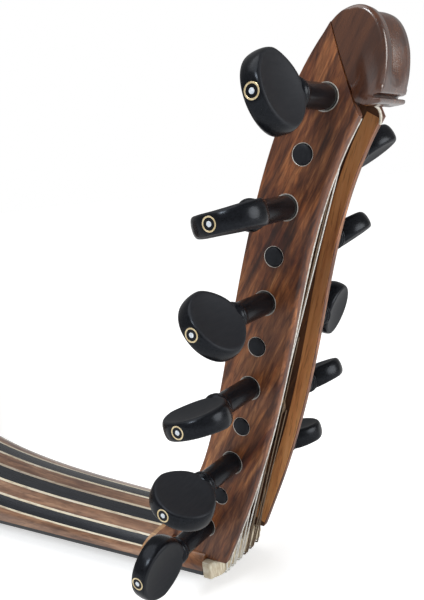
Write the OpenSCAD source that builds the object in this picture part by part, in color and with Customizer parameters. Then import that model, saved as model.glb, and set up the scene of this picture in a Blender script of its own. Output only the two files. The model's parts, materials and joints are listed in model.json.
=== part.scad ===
// Eleven-string oud, lying face down on its bridge with the pegbox standing up from the neck.
// X runs along the strings from the bridge to the head, +Y is the side of the five pegs, Z is up.
// The origin is the middle of the bridge's flat lowest face.

/* [Body] */
// Length of the soundboard from neck joint to tail
body_len = 480; // [470:2:490]
// Greatest width of the soundboard
body_w = 364; // [350:2:376]
// Thickness of the ribs
rib_t = 3; // [2.5:0.5:3.5]
// Number of ribs in the bowl
n_ribs = 15; // [13:2:17]
// Thickness of the soundboard and of the fingerboard
board_t = 2; // [1.5:0.5:2.5]
// Width of the pale lines between ribs
line_w = 0.9; // [0.6:0.1:1.2]

/* [Bridge] */
// Width of the bridge along the strings
bridge_w = 24; // [20:1:28]
// Length of the bridge across the strings
bridge_len = 112; // [104:2:120]
// Height of the bridge above the soundboard
bridge_h = 10; // [10:0.5:11]
// Distance from the centre of one course to the next at the bridge
bridge_pitch = 17; // [16:0.5:18]

/* [Neck] */
// Sounding length of the strings
scale_len = 585; // [575:1:595]
// Length of the neck from nut to body
neck_len = 195; // [190:1:200]
// Half of the neck's width at the nut
nut_half = 20.9; // [20:0.1:22]
// Half of the neck's width at the body
joint_half = 29; // [28:0.5:30]
// Rise of the rounded back over half of the neck's width
back_ratio = 0.5; // [0.48:0.01:0.56]
// Height of the upright sides where the neck meets the body
side_h = 14.5; // [12:0.5:16]
// Thickness of the inlaid strips at the sides of the neck
strip_t = 2.2; // [1.8:0.1:2.6]
// Distance from the centre of one course to the next at the nut
nut_pitch = 4.9; // [4.7:0.1:5]
// Distance between the two strings of one course
pair_gap = 1.6; // [1.5:0.1:1.7]

/* [Pegbox] */
// Half of the pegbox's width at its foot
foot_half = 17.7; // [17.4:0.1:18]
// Half of the pegbox's width 200 mm above the nut
top_half = 12.05; // [12:0.05:12.3]
// Thickness of the cheeks at their foot
cheek_t_foot = 3.5; // [3.3:0.1:3.7]
// Thickness of the cheeks 200 mm above the nut
cheek_t_top = 4.2; // [4:0.1:4.4]
// Thickness of the pegbox's back
back_t = 4.5; // [4:0.5:5]

/* [Pegs] */
// Radius of the peg's shaft where it leaves the head
shaft_r = 4.15; // [4.1:0.05:4.2]
// Loss of radius of the shaft for each millimetre of its length
shaft_taper = 0.025; // [0.02:0.001:0.026]
// Radial clearance of the shaft in its holes
fit_gap = 0.05; // [0.03:0.01:0.08]
// Half of the width of the peg's head
head_r = 12; // [11.4:0.1:12.6]
// Length of the peg's head
head_len = 22.5; // [22:0.5:24]
// Half of the thickness left between the two hollows of the head
head_web = 2.4; // [2:0.1:2.8]

/* [Hidden] */

WALNUT = [0.36, 0.2, 0.11];
BLACK = [0.05, 0.045, 0.045];
IVORY = [0.9, 0.86, 0.76];
SPRUCE = [0.83, 0.66, 0.42];

// Levels and places along the instrument
face_z = bridge_h;
rim_z = face_z + board_t;
nut_x = bridge_w / 2 + scale_len;
joint_x = nut_x - neck_len;
tail_x = joint_x - body_len;
widest_x = tail_x + 0.34 * body_len;
half_w = body_w / 2;

// The pegbox is drawn from the string side edge of the nut: its own x, z are added to this
nut_z = face_z - 0.5;

// A cubic curve from its four control points, its slope, and points along it moved sideways
function bez(p, t) =
    pow(1 - t, 3) * p[0] + 3 * pow(1 - t, 2) * t * p[1] + 3 * (1 - t) * t * t * p[2] + pow(t, 3) * p[3];
function slope(p, t) =
    3 * pow(1 - t, 2) * (p[1] - p[0]) + 6 * (1 - t) * t * (p[2] - p[1]) + 3 * t * t * (p[3] - p[2]);
function beside(p, t, d) =
    let (s = slope(p, t) / norm(slope(p, t))) bez(p, t) + d * [s[1], -s[0]];
function curve(p, t0, t1, n, d = 0) = [for (i = [0:n]) beside(p, t0 + (t1 - t0) * i / n, d)];
function reversed(list) = [for (i = [len(list) - 1:-1:0]) list[i]];
function flipped(list) = [for (p = list) [p[0], -p[1]]];

// ---- Body ----

// Half outline of the body as (x, half width): shoulder from the neck, then the round tail end
shoulder = [[joint_x, joint_half], [joint_x - 110, 95], [widest_x + 125, half_w], [widest_x, half_w]];
tail = [[widest_x, half_w], [widest_x - 90, half_w], [tail_x, 0.55 * half_w], [tail_x, 0]];
SHOULDER_STEPS = 12;
TAIL_STEPS = 14;
RIB_END = 13;
CLASP_START = 11;

// Points of the outline, moved inward by d, up to a step of the tail curve
function side(d, last) = concat(curve(shoulder, 0, 1, SHOULDER_STEPS, -d),
    [for (i = [1:last]) beside(tail, i / TAIL_STEPS, -d)]);

function outline(d) = let (s = side(d, TAIL_STEPS)) concat(s, reversed(flipped(s)));

// Turns a profile drawn as (x, radius) about the body's long axis, from angle a0 to a1.
// Angle 0 is the -Y edge, 90 the crest of the back, 180 the +Y edge.
module around_x(points, a0 = 0, a1 = 180) {
    translate([0, 0, rim_z]) rotate([0, 90, 0]) rotate([0, 0, 270 - a1])
        rotate_extrude(angle = a1 - a0, $fn = 96) polygon([for (p = points) [p[1], p[0]]]);
}

function shell_profile() = concat(side(0, RIB_END), reversed(side(rib_t, RIB_END)));

// A thin slab in the plane between two ribs
module rib_seam(k) {
    translate([0, 0, rim_z]) rotate([-180 * k / n_ribs, 0, 0])
        translate([tail_x - 10, -body_w, -line_w / 2]) cube([body_len + 20, body_w, line_w]);
}

module rib(k) {
    difference() {
        around_x(shell_profile(), 180 * k / n_ribs, 180 * (k + 1) / n_ribs);
        if (k > 0) rib_seam(k);
        if (k < n_ribs - 1) rib_seam(k + 1);
    }
}

module bowl_ribs_walnut() { color(WALNUT) for (k = [0:2:n_ribs - 1]) rib(k); }

module bowl_ribs_black() { color(BLACK) for (k = [1:2:n_ribs - 2]) rib(k); }

module bowl_lines() {
    color(IVORY) for (k = [1:n_ribs - 1]) intersection() {
        around_x(shell_profile(), 180 * (k - 0.4) / n_ribs, 180 * (k + 0.4) / n_ribs);
        rib_seam(k);
    }
}

// Sound holes: one large and two small, as (x, y, radius)
HOLES = [[240, 0, 46], [150, -62, 20], [150, 62, 20]];
RING_W = 4;

module hole_disks(grow, bottom, top) {
    for (h = HOLES) translate([h[0], h[1], bottom]) cylinder(r = h[2] + grow, h = top - bottom, $fn = 64);
}

BINDING_W = 2.5;

module soundboard() {
    color(SPRUCE) difference() {
        translate([0, 0, face_z]) linear_extrude(board_t) polygon(outline(BINDING_W));
        hole_disks(RING_W, face_z - 1, rim_z + 1);
    }
}

module edge_binding() {
    color(BLACK) translate([0, 0, face_z]) linear_extrude(board_t) difference() {
        polygon(outline(0));
        polygon(outline(BINDING_W));
    }
}

module rosette_rings() {
    color(IVORY) difference() {
        hole_disks(RING_W, face_z, rim_z);
        hole_disks(0, face_z - 1, rim_z + 1);
    }
}

// Ring of round holes in a rosette: how many, their place and size as shares of its radius, first angle
module rosette_holes(r, count, place, size, start) {
    for (k = [0:count - 1]) rotate([0, 0, 360 / count * k + start])
        translate([place * r, 0, -1]) cylinder(r = size * r, h = board_t + 2, $fn = 24);
}

// Pierced star pattern, cut with rings of round holes
module rosette(r) {
    difference() {
        cylinder(r = r, h = board_t, $fn = 64);
        rosette_holes(r, 12, 0.76, 0.14, 0);
        rosette_holes(r, 12, 0.49, 0.1, 15);
        rosette_holes(r, 6, 0.24, 0.09, 0);
    }
}

module rosettes() { color(IVORY) for (h = HOLES) translate([h[0], h[1], face_z]) rosette(h[2]); }

// Cross braces glued inside the soundboard, at steps along the outline
BRACE_W = 6;
BRACE_H = 10;

module brace(p) {
    translate([p[0] - BRACE_W / 2, -p[1] + 12, rim_z]) cube([BRACE_W, 2 * p[1] - 24, BRACE_H]);
}

module soundboard_braces() {
    color(SPRUCE) {
        for (t = [0.22, 0.34, 0.6, 0.76, 0.9]) brace(bez(shoulder, t));
        for (t = [0.3, 0.55]) brace(bez(tail, t));
    }
}

module neck_block() {
    inner = curve(shoulder, 0, 2 / SHOULDER_STEPS, 2, -rib_t);
    color(SPRUCE) around_x(concat([[inner[0][0], 0]], inner, [[inner[2][0], 0]]));
}

module tail_block() {
    inner = [for (i = [CLASP_START - 1:RIB_END]) beside(tail, i / TAIL_STEPS, -rib_t)];
    last = len(inner) - 1;
    color(SPRUCE) around_x(concat([[inner[0][0], 0]], inner, [[inner[last][0], 0]]));
}

CLASP_T = 1.5;

module end_clasp() {
    outer = [for (i = [CLASP_START:TAIL_STEPS]) beside(tail, i / TAIL_STEPS, CLASP_T)];
    inner = [for (i = [CLASP_START:TAIL_STEPS]) bez(tail, i / TAIL_STEPS)];
    color(BLACK) around_x(concat(inner, reversed(outer)));
}

PICKGUARD_T = 0.8;

module pickguard() {
    edge = curve([[190, 0], [160, 30], [110, 44], [72, 0]], 0, 1, 12);
    color(WALNUT) translate([0, 0, face_z - PICKGUARD_T]) linear_extrude(PICKGUARD_T)
        polygon(concat(edge, reversed(flipped(edge))));
}

// ---- Strings ----

STRING_R = 0.4;
KNOT_R = 1.2;
KNOT_LEN = 2;
// Heights of the strings below the soundboard at the bridge, and below the nut
STRING_DROP = 7.4;
NUT_FRONT = 5.2;
nut_low = -0.7;

// Place of string i, counted from the lowest peg: pairs on the -Y side go to the six near pegs
COURSE = [-2.5, 2.5, -2.5, 1.5, -1.5, 1.5, -1.5, 0.5, -0.5, 0.5, -0.5];
PAIR = [-0.5, 0, 0.5, 0.5, -0.5, -0.5, 0.5, 0.5, -0.5, -0.5, 0.5];
function string_y(i, pitch, gap) = COURSE[i] * pitch + PAIR[i] * gap;

module bridge() {
    color(WALNUT) difference() {
        hull() {
            translate([-bridge_w / 2, -bridge_len / 2 + 12, 0]) cube([bridge_w, bridge_len - 24, 2]);
            translate([-bridge_w / 2, -bridge_len / 2, face_z - 2]) cube([bridge_w, bridge_len, 2]);
        }
        for (i = [0:10]) translate([-bridge_w / 2 - 1, string_y(i, bridge_pitch, 3), face_z - STRING_DROP])
            rotate([0, 90, 0]) cylinder(r = 0.7, h = bridge_w + 2, $fn = 16);
    }
}

// A straight eight-sided rod from one point to another
module rod(a, b, r) {
    v = b - a;
    translate(a) rotate([0, acos(v[2] / norm(v)), atan2(v[1], v[0])]) cylinder(r = r, h = norm(v), $fn = 8);
}

// ---- Pegs: places ----

// Line of the peg axes as (x, z), from the lowest peg to the highest
PEG_LINE = [[0.5, 21.5], [33, 69.5], [30.5, 124.5], [65, 181]];
function peg_at(i) = bez(PEG_LINE, i / 10);
function is_near(i) = i % 2 == 0;
function taper(z, foot, top) = foot + (top - foot) * z / 200;
function half_at(z) = taper(z, foot_half, top_half);
inner_foot = foot_half - cheek_t_foot;
inner_top = top_half - cheek_t_top;

// Distance from cheek to peg tip, rest angle of each head, and middle of each winding across the box
REACH = [43.5, 46.5, 44, 47.5, 45.2, 47, 45.2, 45.5, 47, 43.5, 46.2];
HEAD_TURN = [12, -80, -62, -70, 78, -20, -35, -60, 81, -60, -12];
WIND_Y = [-11.4, 10.8, -10.4, 9.6, -9.4, 7.4, -7.2, 4.8, -4.6, 2.4, -1.8];
WIND_R = 5.4;
WIND_W = 3.2;
CLEAR = 0.3;

// Where string i, leaving the nut's front edge, passes just in front of its winding
leave = [NUT_FRONT + 0.5, nut_low - 0.1];
function touch(i) = let (v = peg_at(i) - leave, r = WIND_R + CLEAR + STRING_R,
    len = sqrt(v * v - r * r), a = atan2(v[1], v[0]) - asin(r / norm(v)))
    leave + len * [cos(a), sin(a)];

module string(i) {
    y_nut = string_y(i, nut_pitch, pair_gap);
    at_bridge = [bridge_w / 2, string_y(i, bridge_pitch, 3), face_z - STRING_DROP];
    at_nut = [nut_x + leave[0], y_nut, nut_z + leave[1]];
    at_peg = [nut_x + touch(i)[0], WIND_Y[i], nut_z + touch(i)[1]];
    tie = [at_bridge[0] - bridge_w, at_bridge[1], at_bridge[2]];
    rod(tie, at_bridge, STRING_R);
    rod(at_bridge, at_nut, STRING_R);
    rod(at_nut, at_peg, STRING_R);
    // Knot behind the bridge
    rod(tie - [KNOT_LEN, 0, 0], tie, KNOT_R);
}

module treble_strings() { color(IVORY) for (i = [0, 2, 4, 6, 8, 10]) string(i); }

module bass_strings() { color([0.7, 0.68, 0.64]) for (i = [1, 3, 5, 7, 9]) string(i); }

// ---- Neck ----

STRIPES = 9;
BAND_X = -26;
NECK_STEPS = 6;
LINE_ANGLE = 1.6;
function neck_place(j) = -neck_len + (neck_len + BAND_X) * j / NECK_STEPS;
function neck_a(s) = nut_half + (joint_half - nut_half) * s;
function neck_side(s) = 0.4 + (side_h - 0.4) * pow(s, 4);

// Point on the back at x from the nut, moved inward by d: a half ellipse from 0 to 180 on
// upright sides, whose lower ends are just outside those angles
function back_point(x, a, d) = let (s = -x / neck_len, half = neck_a(s) - d)
    a < 0 || a > 180 ? [nut_x + x, a < 0 ? -half : half, rim_z]
        : [nut_x + x, -half * cos(a), rim_z + neck_side(s) + back_ratio * half * sin(a)];

// Closed solid through a row of rings with equal numbers of points
module loft(rings) {
    n = len(rings[0]);
    m = len(rings);
    polyhedron(points = [for (r = rings) each r],
        faces = concat([[for (i = [n - 1:-1:0]) i]], [[for (i = [0:n - 1]) (m - 1) * n + i]],
            [for (j = [0:m - 2]) for (i = [0:n - 1])
                [j * n + i, j * n + (i + 1) % n, (j + 1) * n + (i + 1) % n, (j + 1) * n + i]]));
}

// Strip of the neck's back through a row of angles
module neck_strip(angles) {
    loft([for (j = [0:NECK_STEPS]) let (x = neck_place(j))
        concat([for (a = angles) back_point(x, a, 0)],
            [for (a = reversed(angles)) back_point(x, a, strip_t)])]);
}

// Full section of the neck through some places, moved inward by d
module neck_piece(places, d) {
    loft([for (x = places) [for (a = concat([-1], [for (i = [0:18]) 10 * i], [181])) back_point(x, a, d)]]);
}

function stripe_edge(k) = 180 * k / STRIPES;

module stripe(k) {
    low = k == 0 ? 0 : stripe_edge(k) + LINE_ANGLE;
    high = k == STRIPES - 1 ? 180 : stripe_edge(k + 1) - LINE_ANGLE;
    neck_strip(concat(k == 0 ? [-1] : [], [low, (low + high) / 2, high], k == STRIPES - 1 ? [181] : []));
}

module neck_strips_walnut() { color(WALNUT) for (k = [0:2:STRIPES - 1]) stripe(k); }

module neck_strips_black() { color(BLACK) for (k = [1:2:STRIPES - 2]) stripe(k); }

module neck_lines() {
    color(IVORY) for (k = [1:STRIPES - 1])
        neck_strip([stripe_edge(k) - LINE_ANGLE, stripe_edge(k) + LINE_ANGLE]);
}

module neck_core() { color(SPRUCE) neck_piece([for (j = [0:NECK_STEPS]) neck_place(j)], strip_t); }

NUT_BACK = -1;

module fingerboard() {
    color(BLACK) translate([0, 0, face_z]) linear_extrude(board_t) polygon([
        [joint_x, -joint_half], [nut_x + NUT_BACK, -nut_half],
        [nut_x + NUT_BACK, nut_half], [joint_x, joint_half]]);
}

NUT_TOP = 6.5;

module nut() {
    color(IVORY) difference() {
        translate([nut_x + NUT_BACK, -nut_half, nut_z + nut_low])
            cube([NUT_FRONT - NUT_BACK, 2 * nut_half, NUT_TOP - nut_low]);
        for (i = [0:10]) translate([nut_x - 10, string_y(i, nut_pitch, pair_gap), nut_z + nut_low])
            rotate([0, 90, 0]) cylinder(r = STRING_R + 0.1, h = 20, $fn = 16);
    }
}

// ---- Pegbox: drawn as (x, z) from the nut ----

FRONT = [[5.5, 0.5], [54, 91], [43.5, 130], [78.5, 178]];
BACK = [[0, 45], [19, 77], [31, 174], [71.5, 205.5]];
HEEL = [[-26, 13.2], [-14, 14], [-8, 31.5], [0, 45]];
BLOCK_EDGE = [[68.3, 203], [70, 193], [72, 186], [74, 178]];
// Levels of the foot's top between the cheeks and under them, and where its cuts start
FLOOR_Z = 10.6;
SEAT_Z = 8.6;
FLOOR_X = -20;
SEAT_X = -17;
HEEL_T = 3.2;

// Extrudes an (x, z) outline across the pegbox, kept between the two tapering planes
module across(points, foot, top) {
    intersection() {
        translate([nut_x, 60, nut_z]) rotate([90, 0, 0]) linear_extrude(120) polygon(points);
        between_planes(foot, top);
    }
}

module between_planes(foot, top) {
    low = -20;
    high = 240;
    translate([nut_x - 60, 0, nut_z]) rotate([90, 0, 90]) linear_extrude(200)
        polygon([[-taper(low, foot, top), low], [taper(low, foot, top), low],
            [taper(high, foot, top), high], [-taper(high, foot, top), high]]);
}

function cheek_outline() = concat(
    [[NUT_FRONT, NUT_TOP]], curve(FRONT, 0.022, 0.97, 26),
    reversed(curve(BLOCK_EDGE, 0, 1, 6)), reversed(curve(BACK, 0, 0.95, 20)),
    reversed(curve(HEEL, 0.55, 0.95, 4)), [[SEAT_X, SEAT_Z], [NUT_BACK, SEAT_Z], [NUT_BACK, NUT_TOP]]);

// Plate between the outer and inner planes, on one side only
module cheek(side) {
    difference() {
        intersection() {
            across(cheek_outline(), foot_half, top_half);
            translate([nut_x - 60, side > 0 ? 0 : -40, nut_z - 10]) cube([200, 40, 260]);
        }
        between_planes(inner_foot, inner_top);
        for (i = [0:10]) peg_place(i) peg_hole();
    }
}

module near_cheek() { color(WALNUT) cheek(-1); }

module far_cheek() { color(WALNUT) cheek(1); }

module pegbox_back() {
    color(WALNUT) across(concat([[FLOOR_X, FLOOR_Z]], curve(HEEL, 0.2, 0.95, 8), curve(BACK, 0, 0.95, 20),
        reversed(curve(BACK, 0, 0.95, 20, back_t)), reversed(curve(HEEL, 0.6, 0.9, 3, HEEL_T)),
        [[-6.5, FLOOR_Z]]), inner_foot, inner_top);
}

module pegbox_foot() {
    seat_y = taper(SEAT_Z, inner_foot, inner_top);
    color(WALNUT) difference() {
        neck_piece([BAND_X, NUT_BACK], 0);
        translate([nut_x + FLOOR_X, -30, nut_z + FLOOR_Z]) cube([30, 60, 10]);
        for (s = [-1, 1]) translate([nut_x + SEAT_X, s > 0 ? seat_y : -30 - seat_y, nut_z + SEAT_Z])
            cube([30, 30, 10]);
    }
}

module finial() {
    dome = curve([[68.3, 203], [74.6, 208.6], [84.5, 208], [85.4, 193]], 0, 1, 14);
    brow = curve([[85.4, 193], [85.5, 188], [84.4, 183], [83, 179.6]], 0.2, 1, 5);
    chin = [[80.5, 179.3], [80.5, 178.4], [82.6, 178], [82.2, 176.6], [77.5, 176.4]];
    color([0.2, 0.11, 0.08]) across(concat(dome, brow, chin, reversed(curve(BLOCK_EDGE, 0, 1, 6))),
        top_half, top_half);
}

// ---- Pegs: shapes ----

// Moves a peg drawn along +Z, from the outer face of its own cheek, to its place
module peg_place(i) {
    p = peg_at(i);
    translate([nut_x + p[0], 0, nut_z + p[1]]) rotate([is_near(i) ? -90 : 90, 0, 0])
        translate([0, 0, -half_at(p[1])]) children();
}

// Tapering hole through both cheeks, from just outside the peg's own cheek to past the other one
module peg_hole() {
    start = -3;
    end = 60;
    wide = shaft_r + fit_gap;
    translate([0, 0, start]) cylinder(r1 = wide - shaft_taper * start, r2 = wide - shaft_taper * end,
        h = end - start, $fn = 64);
}

EYE_R = 2.38;
EYE_W = 0.45;
EYE_DOT = 0.85;
EYE_T = 0.6;
COLLAR_LEN = 3;
HOLLOW_R = 38;
TIP_R = 2.7;
NECK_R = 4.8;
// Share of the head's length from its tip to its widest place, and to the middle of its hollows
WIDEST = 0.53;
HOLLOW_AT = 0.4;

// Outline of the head as (radius, distance from its tip)
function head_profile() = concat([[0, 0], [TIP_R, 0]],
    [for (a = [10:10:90]) [TIP_R + (head_r - TIP_R) * pow(sin(a), 1.25),
        WIDEST * head_len * (1 - cos(a))]],
    [for (a = [15:15:90]) [NECK_R + (head_r - NECK_R) * pow(cos(a), 1.35),
        head_len * (WIDEST + (1 - WIDEST) * pow(sin(a), 1.35))]],
    [[0, head_len]]);

module head_blank() {
    difference() {
        rotate_extrude($fn = 64) polygon(head_profile());
        for (s = [-1, 1]) translate([s * (HOLLOW_R + head_web), 0, HOLLOW_AT * head_len])
            sphere(r = HOLLOW_R, $fn = 200);
    }
}

module eye_ring() {
    difference() {
        cylinder(r = EYE_R, h = EYE_T, $fn = 32);
        translate([0, 0, -1]) cylinder(r = EYE_R - EYE_W, h = EYE_T + 2, $fn = 32);
    }
    cylinder(r = EYE_DOT, h = EYE_T, $fn = 32);
}

// Collar of two turned rings and the shaft behind it, from the head at w0 to the far end at w1
module turned_shaft(w0, w1) {
    collar = [[5, -0.2], [5.3, 0.3], [5.3, 0.9], [4.9, 1.3], [5.1, 1.6], [5.1, 2.2], [4.6, 2.7]];
    rotate_extrude($fn = 64) polygon(concat([[0, w0 - 1.5], [4.2, w0 - 1.5]],
        [for (p = collar) [p[0], w0 + p[1]]],
        [[shaft_r, w0 + COLLAR_LEN], [shaft_r, 0], [shaft_r - shaft_taper * w1, w1], [0, w1]]));
}

module peg(i) {
    p = peg_at(i);
    tip = -REACH[i];
    color(BLACK) peg_place(i) {
        difference() {
            translate([0, 0, tip]) rotate([0, 0, HEAD_TURN[i]]) head_blank();
            translate([0, 0, tip]) eye_ring();
        }
        turned_shaft(tip + head_len, 2 * half_at(p[1]) + 0.6);
    }
}

module peg_eye(i) { color(IVORY) peg_place(i) translate([0, 0, -REACH[i]]) eye_ring(); }

// Turns of string around the shaft, as one ribbed sleeve
module string_winding(i) {
    p = peg_at(i);
    mid = (is_near(i) ? WIND_Y[i] : -WIND_Y[i]) + half_at(p[1]);
    low = mid - WIND_W / 2;
    high = mid + WIND_W / 2;
    turns = 4;
    color(IVORY) peg_place(i) rotate_extrude($fn = 48) {
        polygon([[shaft_r - shaft_taper * low, low], [WIND_R - STRING_R, low],
            [WIND_R - STRING_R, high], [shaft_r - shaft_taper * high, high]]);
        for (k = [0:turns - 1]) translate([WIND_R - STRING_R, low + STRING_R * (2 * k + 1)])
            circle(r = STRING_R, $fn = 16);
    }
}

bowl_ribs_walnut();
bowl_ribs_black();
bowl_lines();
soundboard();
soundboard_braces();
rosettes();
rosette_rings();
edge_binding();
end_clasp();
neck_block();
tail_block();
pickguard();
bridge();
neck_core();
neck_strips_walnut();
neck_strips_black();
neck_lines();
fingerboard();
nut();
pegbox_foot();
near_cheek();
far_cheek();
pegbox_back();
finial();
treble_strings();
bass_strings();
peg(0);  // peg_1
peg(1);  // peg_2
peg(2);  // peg_3
peg(3);  // peg_4
peg(4);  // peg_5
peg(5);  // peg_6
peg(6);  // peg_7
peg(7);  // peg_8
peg(8);  // peg_9
peg(9);  // peg_10
peg(10);  // peg_11
peg_eye(0);  // peg_eye_1
peg_eye(1);  // peg_eye_2
peg_eye(2);  // peg_eye_3
peg_eye(3);  // peg_eye_4
peg_eye(4);  // peg_eye_5
peg_eye(5);  // peg_eye_6
peg_eye(6);  // peg_eye_7
peg_eye(7);  // peg_eye_8
peg_eye(8);  // peg_eye_9
peg_eye(9);  // peg_eye_10
peg_eye(10);  // peg_eye_11
string_winding(0);  // string_winding_1
string_winding(1);  // string_winding_2
string_winding(2);  // string_winding_3
string_winding(3);  // string_winding_4
string_winding(4);  // string_winding_5
string_winding(5);  // string_winding_6
string_winding(6);  // string_winding_7
string_winding(7);  // string_winding_8
string_winding(8);  // string_winding_9
string_winding(9);  // string_winding_10
string_winding(10);  // string_winding_11
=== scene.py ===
"""Looks of the oud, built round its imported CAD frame. Design sizes are in millimetres."""
import json
import math
import random

import bpy
import numpy as np
from mathutils import Matrix, Vector, geometry


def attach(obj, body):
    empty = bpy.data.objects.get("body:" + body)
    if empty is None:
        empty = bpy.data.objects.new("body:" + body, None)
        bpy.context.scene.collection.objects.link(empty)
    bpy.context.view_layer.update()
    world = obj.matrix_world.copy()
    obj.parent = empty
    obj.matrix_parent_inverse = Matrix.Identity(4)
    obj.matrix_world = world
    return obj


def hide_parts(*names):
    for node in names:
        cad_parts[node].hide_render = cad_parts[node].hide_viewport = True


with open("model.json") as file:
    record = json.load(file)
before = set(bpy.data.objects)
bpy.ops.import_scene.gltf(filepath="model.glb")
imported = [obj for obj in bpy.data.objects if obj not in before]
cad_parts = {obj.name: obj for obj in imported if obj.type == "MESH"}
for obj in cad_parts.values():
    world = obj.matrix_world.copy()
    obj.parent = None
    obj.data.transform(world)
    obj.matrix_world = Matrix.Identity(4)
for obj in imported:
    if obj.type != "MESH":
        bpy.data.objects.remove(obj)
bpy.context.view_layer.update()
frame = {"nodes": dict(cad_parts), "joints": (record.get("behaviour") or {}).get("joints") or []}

MM = 0.001
BODY = "oud"

# Driving dimensions, the same as the CAD part's
NUT_X = 597.0
NUT_Z = 9.5
FACE_Z = 10.0
RIM_Z = 12.0
JOINT_X = 402.0
TAIL_X = -78.0
WIDEST_X = 85.2
HALF_W = 182.0
JOINT_HALF = 29.0
NUT_HALF = 20.9
NECK_LEN = 195.0
FOOT_HALF = 17.7
TOP_HALF = 12.05
INNER_FOOT = 14.2
INNER_TOP = 7.85
SHAFT_R = 4.15
SHAFT_TAPER = 0.025
FRONT = [(5.5, 0.5), (54, 91), (43.5, 130), (78.5, 178)]
BACK = [(0, 45), (19, 77), (31, 174), (71.5, 205.5)]
HEEL = [(-26, 13.2), (-14, 14), (-8, 31.5), (0, 45)]
BLOCK_EDGE = [(68.3, 203), (70, 193), (72, 186), (74, 178)]
SHOULDER = [(JOINT_X, 29), (JOINT_X - 110, 95), (WIDEST_X + 125, HALF_W), (WIDEST_X, HALF_W)]
TAIL = [(WIDEST_X, HALF_W), (WIDEST_X - 90, HALF_W), (TAIL_X, 0.55 * HALF_W), (TAIL_X, 0)]


# ---- Curves and meshes ----

def bez(points, t):
    """Points of a cubic curve at the values t."""
    a, b, c, d = np.asarray(points, float)
    t = np.atleast_1d(t)[:, None]
    return (1 - t) ** 3 * a + 3 * (1 - t) ** 2 * t * b + 3 * (1 - t) * t**2 * c + t**3 * d


def beside(points, t, shift):
    """Points of a cubic curve moved sideways, to its right."""
    a, b, c, d = np.asarray(points, float)
    s = np.atleast_1d(t)[:, None]
    run = (1 - s) ** 2 * (b - a) + 2 * (1 - s) * s * (c - b) + s**2 * (d - c)
    run /= np.linalg.norm(run, axis=1, keepdims=True)
    return bez(points, t) + shift * np.stack([run[:, 1], -run[:, 0]], 1)


def taper(z, foot, top):
    return foot + (top - foot) * np.asarray(z) / 200


def smooth(a, b, x):
    """0 below a, 1 above b, and smooth between."""
    t = np.clip((np.asarray(x, float) - a) / (b - a), 0, 1)
    return t * t * (3 - 2 * t)


def piece(name, points, faces, materials, body=BODY, slot="walnut", replaces=(), sharp=35, zones=None):
    """A mesh piece from points in millimetres, riding on a CAD body."""
    mesh = bpy.data.meshes.new(name)
    mesh.from_pydata((np.asarray(points, float) * MM).tolist(), [], faces)
    for material in materials:
        mesh.materials.append(material)
    if zones is not None:
        mesh.polygons.foreach_set("material_index", np.asarray(zones, np.int32))
    mesh.polygons.foreach_set("use_smooth", [True] * len(mesh.polygons))
    mesh.set_sharp_from_angle(angle=math.radians(sharp))
    mesh.update()
    obj = bpy.data.objects.new(name, mesh)
    bpy.context.scene.collection.objects.link(obj)
    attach(obj, body)
    if replaces:
        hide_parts(*replaces)
    return obj


def skin(rings, closed=True, caps=True):
    """Points and faces through a row of rings, each with the same number of points."""
    rings = np.asarray(rings, float)
    rows, count = rings.shape[:2]
    last = count if closed else count - 1
    faces = [(j * count + i, j * count + (i + 1) % count, (j + 1) * count + (i + 1) % count,
              (j + 1) * count + i) for j in range(rows - 1) for i in range(last)]
    if caps:
        faces.append(tuple(range(count - 1, -1, -1)))
        faces.append(tuple((rows - 1) * count + i for i in range(count)))
    return rings.reshape(-1, 3), faces


def joined(parts):
    """One set of points and faces from several."""
    points, faces, start = [], [], 0
    for p, f in parts:
        points.append(np.asarray(p, float))
        faces += [tuple(i + start for i in face) for face in f]
        start += len(p)
    return np.concatenate(points), faces


def outward(points, faces):
    """The same faces, all turned outward for a closed solid."""
    points = np.asarray(points, float)
    corners = np.array([(f[0], f[i], f[i + 1]) for f in faces for i in range(1, len(f) - 1)])
    a, b, c = (points[corners[:, k]] for k in range(3))
    inside_out = np.einsum("ij,ij->", a, np.cross(b, c)) < 0
    return points, [f[::-1] for f in faces] if inside_out else faces


def tube(path, radius, sides=12):
    """A round rod of one radius, or of a radius for each point, along a path."""
    path = np.asarray(path, float)
    radius = np.broadcast_to(radius, len(path))
    run = np.gradient(path, axis=0)
    run /= np.linalg.norm(run, axis=1, keepdims=True)
    side = np.cross(run[0], (0.3, 1, 0.2))
    rings = []
    for p, r, d in zip(path, radius, run):
        side = side - d * np.dot(side, d)
        side /= np.linalg.norm(side)
        up = np.cross(d, side)
        a = np.linspace(0, 2 * np.pi, sides, endpoint=False)[:, None]
        rings.append(p + r * (np.cos(a) * side + np.sin(a) * up))
    return outward(*skin(rings))


def lathe(profile, sides=48):
    """A closed turned form from its profile as (radius, height)."""
    a = np.linspace(0, 2 * np.pi, sides, endpoint=False)
    rings = [np.stack([r * np.cos(a), r * np.sin(a), np.full(sides, z)], 1) for r, z in profile]
    return outward(*skin(rings))


def ring(profile, sides=48):
    """A turned form with a hole, from its closed profile as (radius, height)."""
    a = np.linspace(0, 2 * np.pi, sides, endpoint=False)
    loops = [[(r * math.cos(t), r * math.sin(t), z) for r, z in profile] for t in a]
    points, faces = skin(loops + loops[:1], caps=False)
    count = len(profile)
    whole = len(points) - count
    return outward(points[:whole], [tuple(i % whole for i in f) for f in faces])


def edge_normals(loop):
    """Directions out of the material at the points of a loop that has it on its left."""
    ahead = np.roll(loop, -1, 0) - loop
    ahead /= np.linalg.norm(ahead, axis=1, keepdims=True)
    mean = ahead + np.roll(ahead, 1, 0)
    mean /= np.linalg.norm(mean, axis=1, keepdims=True)
    return np.stack([mean[:, 1], -mean[:, 0]], 1)


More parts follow.
